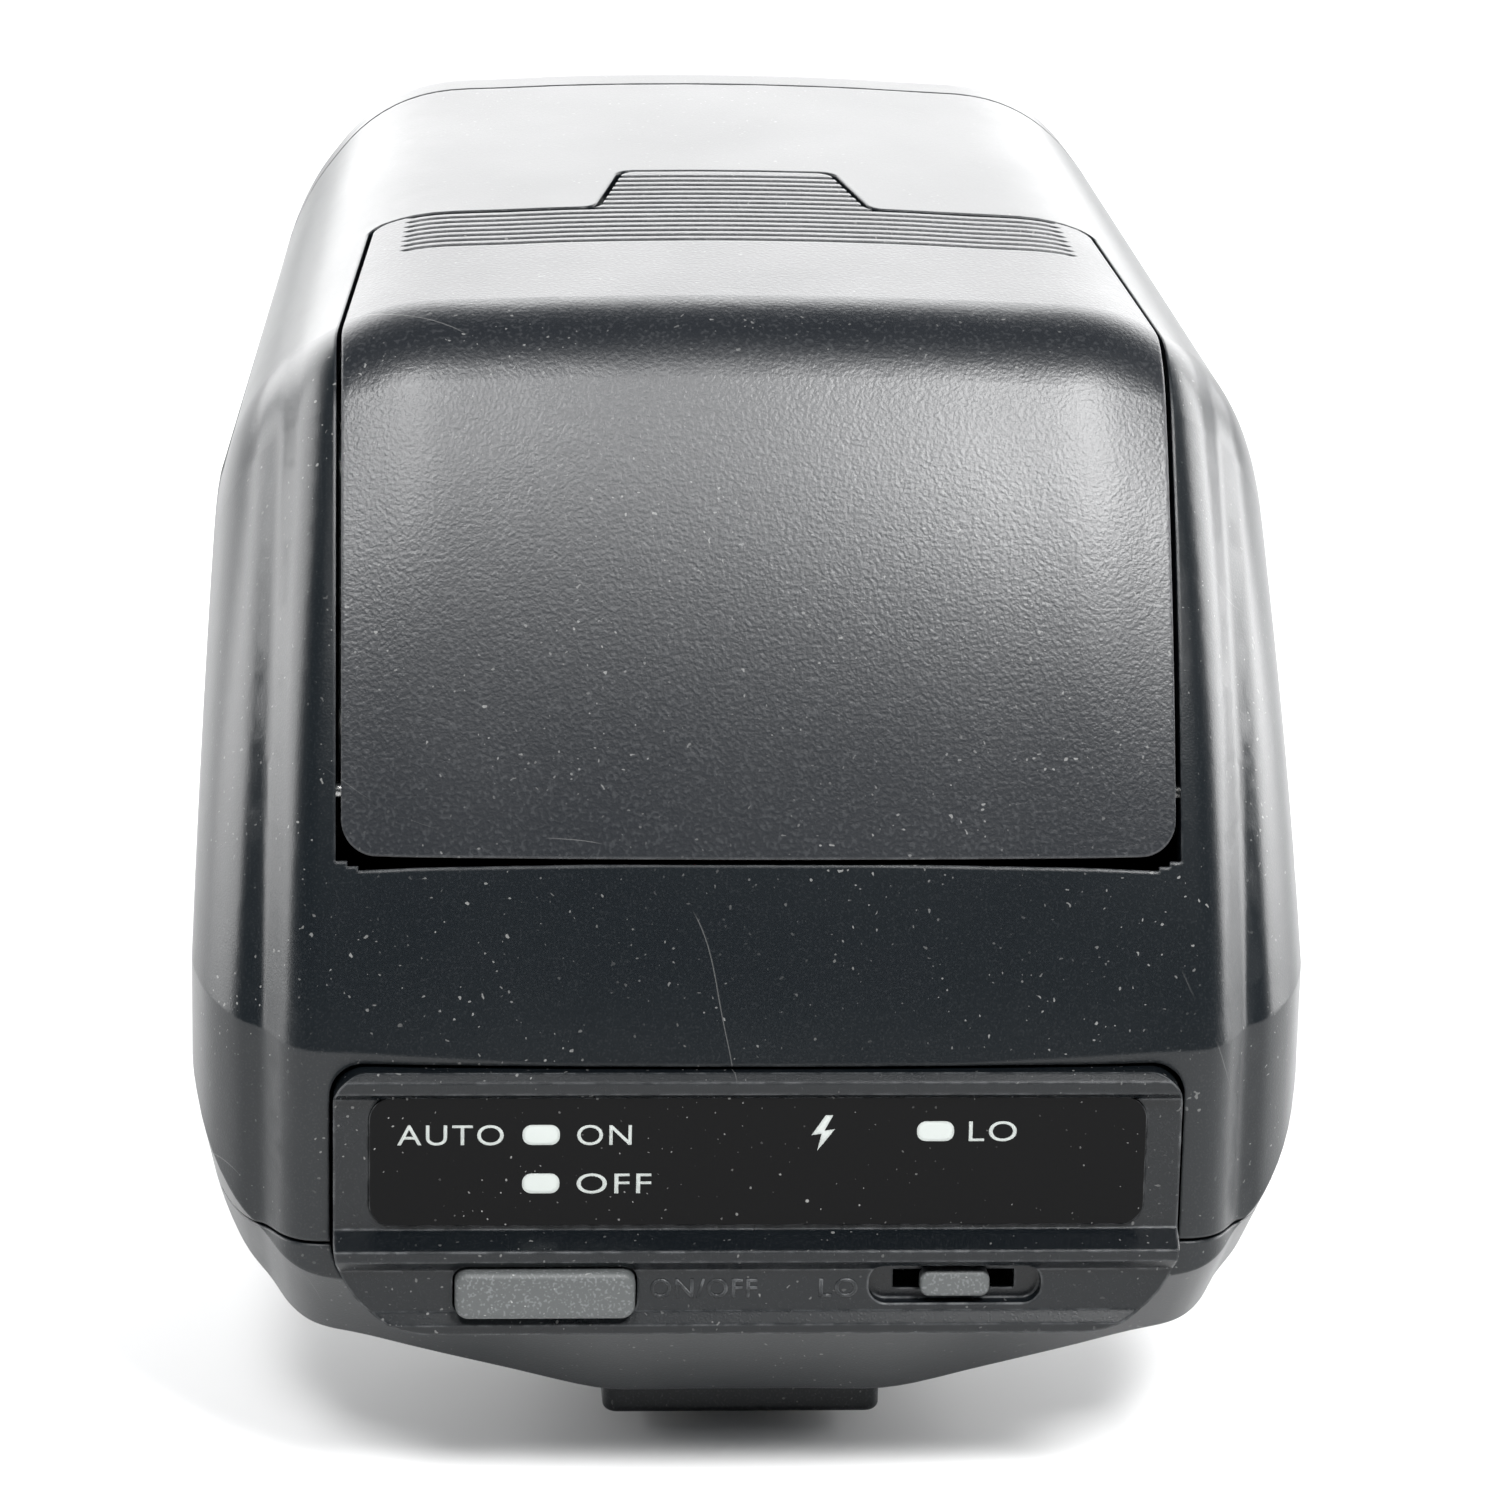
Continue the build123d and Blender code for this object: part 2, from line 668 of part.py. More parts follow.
with BuildPart() as battery_contacts:
    for side in (-1, 1):
        with BuildSketch(cell_plane.offset(side * tray_half)):
            for w in (0, cell_pitch):
                with Locations((cell_pitch / 2, w)):
                    SlotCenterToCenter(cell_pitch - 0.8, 9)
        extrude(amount=-side * 0.4)
        with BuildSketch(cell_plane.offset(side * (tray_half - 0.4))):
            with Locations([p for n, p in enumerate(cell_grid) if (n in (0, 3)) == (side > 0)]):
                Circle(1.6)
        extrude(amount=-side * 1.3)
battery_contacts.part.label = "battery_contacts"
export_step(battery_contacts.part, "parts/battery_contacts.step")

with BuildPart() as battery_springs:
    coil_start = tray_half - 0.62
    for n, (u, w) in enumerate(cell_grid):
        side = 1 if n in (0, 3) else -1
        seat = cell_plane.from_local_coords(Vector(u, w, 0)) + Vector(side * coil_start, 0, 0)
        with BuildLine():
            coil = Helix(0.42, coil_start - cell_length / 2 - 0.22, 3.2, seat, (-side, 0, 0))
        with BuildSketch(Plane(origin=coil @ 0, z_dir=coil % 0)):
            Circle(0.2)
        sweep(path=coil)
battery_springs.part.label = "battery_springs"
export_step(battery_springs.part, "parts/battery_springs.step")

# ---- shoe foot -----------------------------------------------------------------------
pin_hole = pin_radius + 0.05

with BuildPart() as shoe_foot:
    block((-foot_width / 2, -foot_length / 2, 0), (foot_width / 2, foot_length / 2, foot_thick))
    fillet(shoe_foot.edges().filter_by(Axis.Z), 1.0)
    fillet(shoe_foot.faces().sort_by(Axis.Z)[0].edges(), 0.5)
    block((-neck_width / 2, -neck_length / 2, foot_thick - 0.5),
          (neck_width / 2, neck_length / 2, platform_z + 0.4 - touch))
    for x, y in pin_spots:
        bar("Z", (x, y, -1), pin_hole, 8, Mode.SUBTRACT)
    bar("Z", (0, lock_pin_y, -1), lock_pin_radius + 0.06, 8, Mode.SUBTRACT)
    for x, y in foot_screw_spots:
        bar("Z", (x, y, -1), 0.8 + touch, 8, Mode.SUBTRACT)
        bar("Z", (x, y, -1), 1.5 + touch, 2.2, Mode.SUBTRACT)
shoe_foot.part.label = "shoe_foot"
export_step(shoe_foot.part, "parts/shoe_foot.step")

with BuildPart() as foot_plate:
    block((-9.3, -10, floor_z), (9.3, 10, floor_z + plate_thick))
    bar("Z", (0, -1.5, 0), 5.6, 12, Mode.SUBTRACT)
    bar("Z", (0, lock_pin_y, 0), lock_pin_radius + 0.3, 12, Mode.SUBTRACT)
    for x, y in foot_screw_spots:
        bar("Z", (x, y, 0), 0.8 + touch, 12, Mode.SUBTRACT)
foot_plate.part.label = "foot_plate"
export_step(foot_plate.part, "parts/foot_plate.step")

with BuildPart() as foot_screws:
    for x, y in foot_screw_spots:
        screw((x, y, 1.2), "Z", 0.8, floor_z + plate_thick - 1.2, 1.5, 1.0)
foot_screws.part.label = "foot_screws"
export_step(foot_screws.part, "parts/foot_screws.step")

with BuildPart() as casing_screws:
    for x, y in casing_posts:
        screw((x, y, 13.0), "Z", 0.9, 8.4, 1.9, 1.2)
casing_screws.part.label = "casing_screws"
export_step(casing_screws.part, "parts/casing_screws.step")

with BuildPart() as contact_pins:
    for x, y in pin_spots:
        bar("Z", (x, y, -pin_proud), pin_radius, pin_proud + 6.2)
        bar("Z", (x, y, 5.4), 1.5, 0.8)
    fillet(contact_pins.faces().sort_by(Axis.Z)[:3].edges(), 0.3)
contact_pins.part.label = "contact_pins"
export_step(contact_pins.part, "parts/contact_pins.step")

with BuildPart() as lock_pin:
    bar("Z", (0, lock_pin_y, -1.0), lock_pin_radius, collar_z + 1.6)
    bar("Z", (0, lock_pin_y, collar_z), 2.2, 0.8)
lock_pin.part.label = "lock_pin"
export_step(lock_pin.part, "parts/lock_pin.step")

with BuildPart() as lock_release_button:
    with BuildSketch(Plane.XZ.offset(-lock_pin_y - 2.2)):
        with BuildLine():
            Polyline(
                (-28.0, collar_z - 1.2),
                (2.4, collar_z - 1.2),
                (2.4, collar_z - 0.1),
                (-2.3, collar_z - 0.1),
                (-2.3 - release_travel, collar_z - 0.1 + lock_pin_lift),
                (-6.5, collar_z - 0.1 + lock_pin_lift),
                (-6.5, collar_z - 0.1),
                (-28.0, collar_z - 0.1),
                close=True,
            )
        make_face()
    extrude(amount=4.4)
    block((-3.7, lock_pin_y - 1.4, 10), (4, lock_pin_y + 1.4, 16), Mode.SUBTRACT)
    block((-27.2, lock_pin_y - 6.2, collar_z - 0.8), (-28.0, lock_pin_y + 6.2, release_high_z))
    block((-40, lock_pin_y - 4.7, release_low_z), (-28.0, lock_pin_y + 4.7, release_high_z))
    add(outer_form.moved(Location((-0.8, 0, -0.4))), mode=Mode.INTERSECT)
lock_release_button.part.label = "lock_release_button"
export_step(lock_release_button.part, "parts/lock_release_button.step")

# ---- optics --------------------------------------------------------------------------
lens_mid = (lens_low_z + lens_high_z) / 2
lens_tall = lens_high_z - lens_low_z

with BuildPart() as flash_lens:
    with BuildSketch(Plane.XZ.offset(-lens_rear_y)):
        with Locations((0, lens_mid)):
            RectangleRounded(2 * (lens_half + lens_flange), lens_tall + 2 * lens_flange, 3)
    extrude(amount=-(lens_seat_y - lens_rear_y))
    with BuildSketch(Plane.XZ.offset(-lens_rear_y)):
        with Locations((0, lens_mid)):
            RectangleRounded(2 * (lens_half - 0.05), lens_tall - 0.1, 3)
    extrude(amount=-(lens_face_y - lens_rear_y))
    groove_pitch = lens_tall / 15
    with BuildSketch(Plane.YZ.offset(-lens_half)) as prisms:
        for i in range(15):
            z = lens_low_z + (i + 0.5) * groove_pitch
            with BuildLine():
                Polyline(
                    (lens_rear_y - 0.1, z - 0.45 * groove_pitch),
                    (lens_rear_y - 0.1, z + 0.45 * groove_pitch),
                    (lens_rear_y + 0.6, z + 0.1 * (i - 7) / 7 * groove_pitch),
                    close=True,
                )
            make_face()
    extrude(amount=2 * lens_half, mode=Mode.SUBTRACT)
flash_lens.part.label = "flash_lens"
export_step(flash_lens.part, "parts/flash_lens.step")

with BuildPart() as lamp_window:
    with BuildSketch(Plane.XZ.offset(-lens_rear_y)):
        with Locations((0, (lamp_low_z + lamp_high_z) / 2)):
            RectangleRounded(2 * lamp_half + 1.6, lamp_high_z - lamp_low_z + 1.6, 2)
    extrude(amount=-(lens_seat_y - lens_rear_y))
    with BuildSketch(Plane.XZ.offset(-lens_rear_y)):
        with Locations((0, (lamp_low_z + lamp_high_z) / 2)):
            RectangleRounded(2 * lamp_half - 0.1, lamp_high_z - lamp_low_z - 0.1, 2)
    extrude(amount=-(lens_face_y - lens_rear_y))
lamp_window.part.label = "lamp_window"
export_step(lamp_window.part, "parts/lamp_window.step")

with BuildPart() as focus_lamp:
    block((-6, 52.5, 26), (6, 55.0, 33))
    bar("Y", (0, 55.0, 29.5), 2.5, lens_rear_y - 55.0)
focus_lamp.part.label = "focus_lamp"
export_step(focus_lamp.part, "parts/focus_lamp.step")


def trough(inset):
    """The reflector's section, from throat to mouth, drawn inset from its outside."""
    with BuildSketch(Plane.YZ) as section:
        with BuildLine():
            walls = []
            for side in (-1, 1):
                walls.append(
                    ThreePointArc(
                        (throat_y + inset, tube_z + side * (throat_half - inset * 0.6)),
                        (throat_y + 5.2 + inset, tube_z + side * (9.4 - inset * 0.4)),
                        (mouth_y, tube_z + side * (mouth_half - inset)),
                    )
                )
            Line(walls[0] @ 1, walls[1] @ 1)
            Line(walls[0] @ 0, walls[1] @ 0)
        make_face()
    return section.sketch


with BuildPart() as reflector:
    extrude(trough(0), amount=reflector_half, both=True)
    extrude(trough(sheet), amount=reflector_half - sheet, both=True, mode=Mode.SUBTRACT)
    bar("X", (-30, tube_y, tube_z), tube_radius + touch, 60, Mode.SUBTRACT)
reflector.part.label = "reflector"
export_step(reflector.part, "parts/reflector.step")

tube_half = arm_x + 1.6
with BuildPart() as flash_tube:
    bar("X", (-tube_half, tube_y, tube_z), tube_radius, 2 * tube_half)
    bar("X", (-tube_half + 1, tube_y, tube_z), tube_radius - 0.6, 2 * tube_half - 2, Mode.SUBTRACT)
flash_tube.part.label = "flash_tube"
export_step(flash_tube.part, "parts/flash_tube.step")

with BuildPart() as tube_electrodes:
    for side in (-1, 1):
        end = side * tube_half
        bar("X", (min(end, end + side * 1.4), tube_y, tube_z), tube_radius, 1.4)
        bar("X", (min(end, end + side * 3.2), tube_y, tube_z), 0.4, 3.2)
tube_electrodes.part.label = "tube_electrodes"
export_step(tube_electrodes.part, "parts/tube_electrodes.step")

with BuildPart() as reflector_carriage:
    block((-arm_x - 0.2, carriage_y, 46), (arm_x + 0.2, carriage_y + 1.2, 66))
    block((-2.2, carriage_y + 0.4, tube_z - 2.2), (2.2, throat_y - touch, tube_z + 2.2))
    for side in (-1, 1):
        block((side * arm_x, carriage_y, 45), (side * (arm_x + 1.4), 55, 67))
        block((side * arm_x, carriage_y + 3, 36), (side * (arm_x + 1.4), 55, 46))
        bar("Y", (side * rod_x, carriage_y + 3, rod_z), 2.6, 8)
        bar("Y", (side * rod_x, carriage_y, rod_z), rod_radius + rod_fit, 14, Mode.SUBTRACT)
    block((screw_x - 2.4, carriage_y + 3, screw_z - 2.4), (arm_x + 0.4, carriage_y + 9, screw_z + 2.4))
    bar("Y", (screw_x, carriage_y, screw_z), screw_radius + 0.3, 14, Mode.SUBTRACT)
    bar("X", (-30, tube_y, tube_z), tube_radius + touch, 60, Mode.SUBTRACT)
reflector_carriage.part.label = "reflector_carriage"
export_step(reflector_carriage.part, "parts/reflector_carriage.step")

with BuildPart() as guide_rods:
    for side in (-1, 1):
        bar("Y", (side * rod_x, chassis_y, rod_z), rod_radius, 59.4 - chassis_y)
guide_rods.part.label = "guide_rods"
export_step(guide_rods.part, "parts/guide_rods.step")

with BuildPart() as zoom_chassis:
    block((-27.5, chassis_y, 31), (27.5, chassis_y + chassis_thick, 64))
    block((14, chassis_y, 22), (28, chassis_y + chassis_thick, 31))
    for side in (-1, 1):
        block((side * 27.5, chassis_y, 31), (side * 31.4, chassis_y + chassis_thick, 35))
        bar("Y", (side * 29.9, chassis_y - 1, shelf_z - 2), 0.7 + touch, 4, Mode.SUBTRACT)
        bar("Y", (side * rod_x, chassis_y - 1, rod_z), rod_radius + touch, 4, Mode.SUBTRACT)
    bar("Y", (screw_x, chassis_y - 1, screw_z), screw_radius + rod_fit, 4, Mode.SUBTRACT)
zoom_chassis.part.label = "zoom_chassis"
export_step(zoom_chassis.part, "parts/zoom_chassis.step")

with BuildPart() as chassis_screws:
    for side in (-1, 1):
        bar("Y", (side * 29.9, chassis_y - 6, shelf_z - 2), 0.7, 7 + touch)
        bar("Y", (side * 29.9, chassis_y + chassis_thick, shelf_z - 2), 1.3, 0.9)
chassis_screws.part.label = "chassis_screws"
export_step(chassis_screws.part, "parts/chassis_screws.step")

with BuildPart() as lead_screw:
    bar("Y", (screw_x, chassis_y + 0.2, screw_z), screw_radius, 59.4 - chassis_y - 0.2)
lead_screw.part.label = "lead_screw"
export_step(lead_screw.part, "parts/lead_screw.step")


def gear_plane(x, z):
    """The front face of a gear whose axis runs along Y at x, z."""
    return Plane(origin=(x, gear_y + gear_width, z), x_dir=(1, 0, 0), z_dir=(0, -1, 0))


def gear_outline(teeth, first):
    """A spur gear's outline with straight-flanked teeth, its first tooth at an angle."""
    radius = gear_module * teeth / 2
    tip, root = radius + 0.9 * gear_module, radius - 1.15 * gear_module
    half_tip, half_root = 0.26 * gear_module / tip, 0.95 * gear_module / root
    corners = []
    for n in range(teeth):
        middle = first + 2 * math.pi * n / teeth
        for r, a in ((root, -half_root), (tip, -half_tip), (tip, half_tip), (root, half_root)):
            corners.append((r * math.cos(middle + a), r * math.sin(middle + a)))
    return corners


mesh_angle = math.atan2(motor_z - screw_z, motor_x - screw_x)

with BuildPart() as drive_gear:
    with BuildSketch(gear_plane(screw_x, screw_z)):
        with BuildLine():
            Polyline(*gear_outline(gear_teeth, mesh_angle), close=True)
        make_face()
        Circle(screw_radius + touch, mode=Mode.SUBTRACT)
    extrude(amount=gear_width)
drive_gear.part.label = "drive_gear"
export_step(drive_gear.part, "parts/drive_gear.step")

pinion_phase = mesh_angle + math.pi + math.pi / pinion_teeth
with BuildPart() as motor_pinion:
    with BuildSketch(gear_plane(motor_x, motor_z)):
        with BuildLine():
            Polyline(*gear_outline(pinion_teeth, pinion_phase), close=True)
        make_face()
    extrude(amount=gear_width)
    bar("Y", (motor_x, gear_y - 0.8, motor_z), 0.75, motor_y + 2 - gear_y + 0.8)
motor_pinion.part.label = "motor_pinion"
export_step(motor_pinion.part, "parts/motor_pinion.step")

with BuildPart() as zoom_motor:
    bar("Y", (motor_x, motor_y, motor_z), motor_radius, motor_length)
    bar("Y", (motor_x, motor_y + motor_length, motor_z), 1.8, 1.2)
    bar("Y", (motor_x, motor_y - 1, motor_z), 0.8, 4, Mode.SUBTRACT)
zoom_motor.part.label = "zoom_motor"
export_step(zoom_motor.part, "parts/zoom_motor.step")

with BuildPart() as motor_bracket:
    block((16.8, motor_y - 1, 22.5), (28, motor_y, 32.4))
    for x in (16.8, 26.8):
        block((x, chassis_y + chassis_thick, 23), (x + 1.2, motor_y - 0.5, 28.4))
    bar("Y", (motor_x, motor_y - 3, motor_z), 1.2, 6, Mode.SUBTRACT)
motor_bracket.part.label = "motor_bracket"
export_step(motor_bracket.part, "parts/motor_bracket.step")

# ---- energy store and boards ---------------------------------------------------------
with BuildPart() as main_capacitor:
    x, y, z = capacitor_spot
    bar("X", (x - capacitor_length / 2, y, z), capacitor_radius, capacitor_length)
    rims = main_capacitor.edges().filter_by(GeomType.CIRCLE)
    fillet(rims, 0.8)
    for dz in (-3.5, 3.5):
        bar("X", (x + capacitor_length / 2, y, z + dz), 0.6, 1.2)
main_capacitor.part.label = "main_capacitor"
export_step(main_capacitor.part, "parts/main_capacitor.step")

with BuildPart() as main_board:
    block((-board_half, board_rear_y, board_z), (board_half, board_front_y, board_z + board_thick))
    for x, y in board_posts:
        bar("Z", (x, y, board_z - 1), 0.8 + touch, 4, Mode.SUBTRACT)
main_board.part.label = "main_board"
export_step(main_board.part, "parts/main_board.step")

board_top = board_z + board_thick
with BuildPart() as board_screws:
    for x, y in board_posts:
        bar("Z", (x, y, board_z - 4.5), 0.8, 4.5 + board_thick)
        bar("Z", (x, y, board_top), 1.5, 1.0)
board_screws.part.label = "board_screws"
export_step(board_screws.part, "parts/board_screws.step")

with BuildPart() as charging_transformer:
    block((-15, -6, board_top), (-1, 6, board_top + 2))
    block((-15, -6, board_top + 9), (-1, 6, board_top + 11))
    bar("Z", (-8, 0, board_top), 5.2, 11)
    for x in (-15, -3):
        block((x, -4, board_top), (x + 2, 4, board_top + 11))
charging_transformer.part.label = "charging_transformer"
export_step(charging_transformer.part, "parts/charging_transformer.step")

with BuildPart() as trigger_coil:
    bar("Y", (7, -6, board_top + 4), 3.4, 10)
    for y in (-6.8, 3.2):
        block((3, y, board_top), (11, y + 1.6, board_top + 8))
trigger_coil.part.label = "trigger_coil"
export_step(trigger_coil.part, "parts/trigger_coil.step")

with BuildPart() as power_transistor:
    block((14.5, -3.4, board_top + 2), (24.5, 1.0, board_top + 11))
    block((14.5, 1.0, board_top + 2), (24.5, 2.2, board_top + 15))
    for x in (17, 19.5, 22):
        block((x - 0.4, -1.6, board_top), (x + 0.4, -1.0, board_top + 2))
power_transistor.part.label = "power_transistor"
export_step(power_transistor.part, "parts/power_transistor.step")

with BuildPart() as board_components:
    for x in (-13, -6, 1):
        bar("Z", (x, 11.5, board_top), 2.6, 8)
    for x in (8, 12, 16):
        block((x - 1.2, 9, board_top), (x + 1.2, 14, board_top + 1.2))
    block((-21, -2, board_top), (-17, 5, board_top + 1.6))
    block((-2, -11, board_top), (9, -8.2, board_top + 2.4))
board_components.part.label = "board_components"
export_step(board_components.part, "parts/board_components.step")

with BuildPart() as board_link:
    with BuildSketch(Plane.YZ.offset(-1)) as ribbon:
        with BuildLine():
            front_face = control_board_y + control_board_thick
            Polyline(
                (front_face, 24),
                (front_face + 0.4, 24),
                (front_face + 0.4, board_top + 2.8),
                (-8.6, board_top + 2.8),
                (-8.6, board_top + 2.4),
                (front_face, board_top + 2.4),
                close=True,
            )
        make_face()
    extrude(amount=9)
board_link.part.label = "board_link"
export_step(board_link.part, "parts/board_link.step")
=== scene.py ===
# %% [markdown]
# # A speedlight flash, from the user's side
# The real object is a small electronic flash for a camera's accessory shoe. Its casing is
# one smooth shell of dark speckled plastic. A door at the back opens on four cells, and a
# small panel below the door has a button, a slide and a dark window with four lamps.
#
# The shapes were made as solids and they arrive here as a fixed frame. This script gives
# them their finish and adds what a solid modeller leaves plain: the printed words, the
# raised words, a screw thread and a fine wire. Everything is in metres.

import math

import bpy
from mathutils import Matrix, Vector


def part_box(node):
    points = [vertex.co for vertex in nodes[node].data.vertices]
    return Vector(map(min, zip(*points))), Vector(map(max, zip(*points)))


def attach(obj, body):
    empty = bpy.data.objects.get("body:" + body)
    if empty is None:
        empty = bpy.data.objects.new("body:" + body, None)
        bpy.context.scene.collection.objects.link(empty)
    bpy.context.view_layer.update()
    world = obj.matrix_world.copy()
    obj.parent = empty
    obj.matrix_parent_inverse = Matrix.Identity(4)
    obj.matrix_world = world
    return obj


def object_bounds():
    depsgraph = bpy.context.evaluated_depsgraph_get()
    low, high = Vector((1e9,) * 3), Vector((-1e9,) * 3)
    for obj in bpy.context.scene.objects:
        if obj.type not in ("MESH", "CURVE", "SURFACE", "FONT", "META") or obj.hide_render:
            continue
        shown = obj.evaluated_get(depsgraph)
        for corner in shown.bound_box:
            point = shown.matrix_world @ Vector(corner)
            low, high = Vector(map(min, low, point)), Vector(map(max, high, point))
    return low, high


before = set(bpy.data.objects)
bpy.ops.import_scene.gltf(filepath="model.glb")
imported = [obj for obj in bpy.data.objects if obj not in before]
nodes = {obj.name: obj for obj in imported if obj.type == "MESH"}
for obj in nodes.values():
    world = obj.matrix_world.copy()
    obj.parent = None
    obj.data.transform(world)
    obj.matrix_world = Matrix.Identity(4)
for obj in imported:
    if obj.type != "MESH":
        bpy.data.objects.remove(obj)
solid_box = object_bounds()
MM = 0.001
print("pieces in the frame:", len(nodes))
print("size in mm:", [round(s * 1000, 1) for s in solid_box[1] - solid_box[0]])


# %% [markdown]
# ## Where things are
# Each new piece sits on a solid that is already there. The depth of the print on the window
# and the ends of the thread and the wire are read from a solid's box; the places across the
# panel, and small sizes such as the height of a letter, are written as numbers. If the window
# moves in depth, the print on it moves too.

# %% Reading places from the solids
def low(node):
    """The lowest corner of a solid, in metres."""
    return Vector(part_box(node)[0])


def high(node):
    """The highest corner of a solid, in metres."""
    return Vector(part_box(node)[1])


def middle(node):
    """The centre of a solid's box, in metres."""
    return (low(node) + high(node)) / 2


def pick_nothing():
    """Deselect everything, because an operator acts on all that is selected."""
    bpy.ops.object.select_all(action="DESELECT")


def settle(name, body, material):
    """Finish the active piece: origin at zero, one material, and a body to ride on."""
    piece = bpy.context.object
    piece.name = name
    bpy.ops.object.transform_apply(location=True, rotation=True, scale=True)
    piece.data.materials.clear()
    piece.data.materials.append(material)
    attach(piece, body)
    return piece


print("window face is at y =", round(low("indicator_window").y * 1000, 2), "mm")


# %% [markdown]
# ## The moulded surface
# A moulded part is never one flat colour. The tool leaves a fine grain, the filler in the
# plastic shows as pale specks, corners polish bright where hands rub them, and dust sits on
# the flats. The paler corners are also a painted highlight, standing in for the bright lines
# that light draws along rounded edges, strongest on the control panel. These effects are the
# same on every plastic here, only weaker or stronger.
# So they are one node group with named inputs, and each plastic sets its own values. The
# group gives colours, a roughness and a normal. The shader stays in each material.

# %% A short way to place nodes
class Bench:
    """A node tree with short calls that add nodes and join them."""

    def __init__(self, tree):
        self.tree = tree

    def add(self, kind, **settings):
        node = self.tree.nodes.new(kind)
        for key, value in settings.items():
            setattr(node, key, value)
        return node

    def feed(self, socket, value):
        if isinstance(value, (int, float)):
            socket.default_value = value
        elif isinstance(value, tuple):
            socket.default_value = (*value, 1)
        else:
            self.tree.links.new(value, socket)

    def math(self, operation, a, b=0.5, clamp=False):
        node = self.add("ShaderNodeMath", operation=operation, use_clamp=clamp)
        self.feed(node.inputs[0], a)
        self.feed(node.inputs[1], b)
        return node.outputs[0]

    def noise(self, coords, scale, detail=2.0):
        node = self.add("ShaderNodeTexNoise")
        self.feed(node.inputs["Vector"], coords)
        self.feed(node.inputs["Scale"], scale)
        self.feed(node.inputs["Detail"], detail)
        return node.outputs["Fac"]

    def span(self, value, start, end, to_start=0.0, to_end=1.0):
        node = self.add("ShaderNodeMapRange")
        for socket, number in zip(node.inputs, (value, start, end, to_start, to_end)):
            self.feed(socket, number)
        return node.outputs["Result"]

    def mix(self, factor, a, b):
        node = self.add("ShaderNodeMix", data_type="RGBA")
        self.feed(node.inputs["Factor"], factor)
        self.feed(node.inputs["A"], a)
        self.feed(node.inputs["B"], b)
        return node.outputs["Result"]


def new_group(name, inputs, outputs):
    """An empty node group with its sockets, and the bench to fill it on."""
    tree = bpy.data.node_groups.new(name, "ShaderNodeTree")
    kinds = {"colour": "NodeSocketColor", "number": "NodeSocketFloat", "vector": "NodeSocketVector"}
    for socket, kind, value in inputs:
        made = tree.interface.new_socket(socket, in_out="INPUT", socket_type=kinds[kind])
        made.default_value = value
    for socket, kind in outputs:
        tree.interface.new_socket(socket, in_out="OUTPUT", socket_type=kinds[kind])
    bench = Bench(tree)
    return tree, bench, bench.add("NodeGroupInput").outputs, bench.add("NodeGroupOutput").inputs


# %% Edge wear and a painted highlight on rounded edges, as a mask
wear_and_highlight_group, b, given, result = new_group(
    "edge wear",
    [("Radius", "number", 0.0003), ("Amount", "number", 0.3), ("Patch Scale", "number", 900.0)],
    [("Mask", "number"), ("Normal", "vector")],
)
coords = b.add("ShaderNodeTexCoord").outputs["Object"]
rounded = b.add("ShaderNodeBevel", samples=6)
b.feed(rounded.inputs["Radius"], given["Radius"])
facing = b.add("ShaderNodeVectorMath", operation="DOT_PRODUCT")
b.feed(facing.inputs[0], rounded.outputs["Normal"])
b.feed(facing.inputs[1], b.add("ShaderNodeNewGeometry").outputs["Normal"])
# Rounded edges turn pale: partly real wear, partly a painted highlight along the edges.
edge = b.span(facing.outputs["Value"], 0.995, 0.88)
rubbed = b.span(b.noise(coords, given["Patch Scale"], 4.0), 0.42, 0.60, 0.25, 1.0)
b.feed(result["Mask"], b.math("MULTIPLY", b.math("MULTIPLY", edge, rubbed), given["Amount"], True))
b.feed(result["Normal"], rounded.outputs["Normal"])

# %% Dust and hair-thin scuffs, as a mask
dust_group, b, given, result = new_group(
    "dust and scuffs",
    [("Dust", "number", 0.4), ("Speck Scale", "number", 3300.0), ("Scuffs", "number", 0.2)],
    [("Mask", "number")],
)
coords = b.add("ShaderNodeTexCoord").outputs["Object"]
specks = b.span(b.noise(coords, given["Speck Scale"], 0.0), 0.79, 0.82)
settled = b.span(b.noise(coords, 150.0), 0.42, 0.62, 0.15, 1.0)
dust = b.math("MULTIPLY", b.math("MULTIPLY", specks, settled), given["Dust"])
sweep = b.add("ShaderNodeTexWave", wave_profile="SAW", bands_direction="DIAGONAL")
b.feed(sweep.inputs["Vector"], coords)
for socket, value in (("Scale", 14.0), ("Distortion", 9.0), ("Detail", 1.5), ("Detail Scale", 1.2)):
    b.feed(sweep.inputs[socket], value)
line = b.span(sweep.outputs["Fac"], 0.0030, 0.0005)
short = b.span(b.noise(coords, 120.0, 1.0), 0.56, 0.62)
scuff = b.math("MULTIPLY", b.math("MULTIPLY", line, short), given["Scuffs"])
b.feed(result["Mask"], b.math("ADD", dust, scuff, True))

# %% The moulded surface itself
moulded_group, b, given, result = new_group(
    "moulded surface",
    [("Colour", "colour", (0.02, 0.025, 0.03, 1)), ("Worn And Highlight Colour", "colour", (0.3, 0.31, 0.32, 1)),
     ("Dust Colour", "colour", (0.62, 0.62, 0.60, 1)), ("Roughness", "number", 0.4),
     ("Grain Scale", "number", 6000.0), ("Grain Depth", "number", 0.2),
     ("Speckle", "number", 0.1), ("Edge Radius", "number", 0.0003),
     ("Edge Wear", "number", 0.2), ("Dust", "number", 0.4), ("Scuffs", "number", 0.2)],
    [("Colour", "colour"), ("Roughness", "number"), ("Normal", "vector")],
)
coords = b.add("ShaderNodeTexCoord").outputs["Object"]
wear = b.add("ShaderNodeGroup", node_tree=wear_and_highlight_group)
b.feed(wear.inputs["Radius"], given["Edge Radius"])
b.feed(wear.inputs["Amount"], given["Edge Wear"])
dirt = b.add("ShaderNodeGroup", node_tree=dust_group)
b.feed(dirt.inputs["Dust"], given["Dust"])
